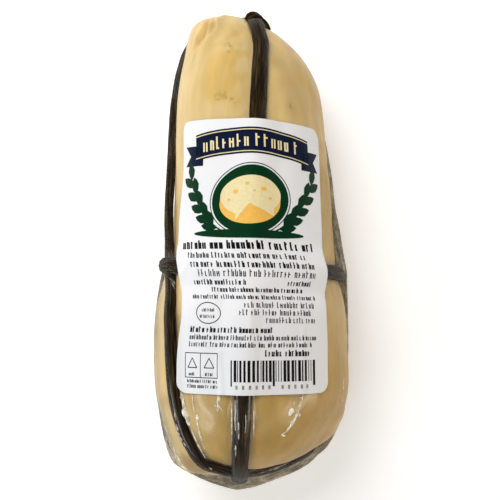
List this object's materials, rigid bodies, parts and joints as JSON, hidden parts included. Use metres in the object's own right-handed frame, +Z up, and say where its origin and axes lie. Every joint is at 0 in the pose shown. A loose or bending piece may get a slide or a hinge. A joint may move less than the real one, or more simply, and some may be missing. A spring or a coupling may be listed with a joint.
{
  "type": "smoked provola cheese",
  "caption": "Barrel-shaped smoked cheese tied lengthwise and round its waist with dark cord, sealed in clear film with a crimped hem and a white paper label.",
  "frame": {"origin": "on the table under the middle of the object's bounding box, label side up", "axes": "+Y along the cheese towards the knotted head, +Z up out of the label, +X to the right seen from above with the head away"},
  "size_m": [0.0776, 0.1911, 0.0732],
  "materials": {
    "filmed_rind": "pale gold smoked rind under clear glossy film",
    "smoked_cord": "thick, slightly flattened fibrous cord smoked nearly black",
    "label_paper": "satin white label paper with dark blue and green print"
  },
  "bodies": {
    "root": {"vacuum_bag": "filmed_rind", "cord": "smoked_cord", "label": "label_paper"}
  },
  "joints": []
}
